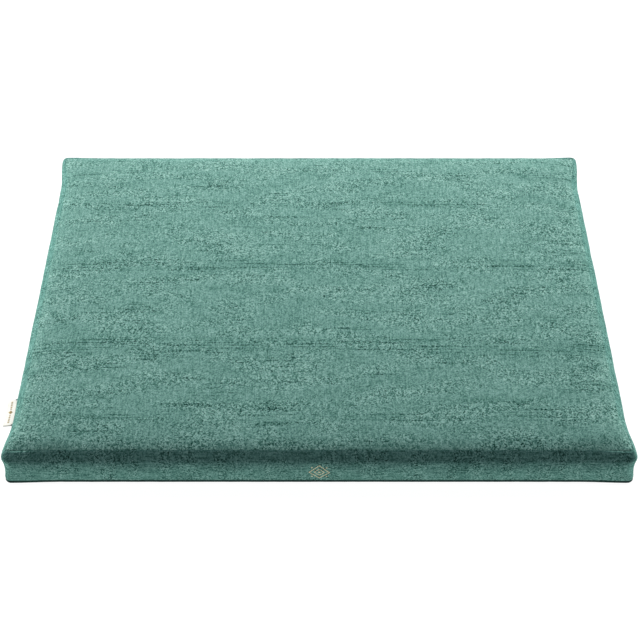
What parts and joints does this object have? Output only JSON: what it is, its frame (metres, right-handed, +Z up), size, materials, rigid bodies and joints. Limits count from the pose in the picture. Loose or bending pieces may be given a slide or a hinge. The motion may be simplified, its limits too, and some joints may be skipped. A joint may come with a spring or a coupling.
{
  "type": "zabuton meditation mat",
  "caption": "Flat rectangular box cushion for sitting and kneeling in meditation, filled, with a low crown, pointed corners and a folded cloth label on its left side.",
  "frame": {"origin": "on the floor, under the middle of the mat", "axes": "+X along the long front edge, to the right seen from the front; +Y from the front edge to the back edge; +Z up"},
  "size_m": [0.9122, 0.6996, 0.07],
  "materials": {
    "cover": "soft teal green chenille with a low pile, mottled, with short darker slubs along the long side",
    "label": "smooth ivory satin ribbon, folded"
  },
  "bodies": {
    "root": {"cushion": "cover", "side_label": "label"}
  },
  "joints": []
}
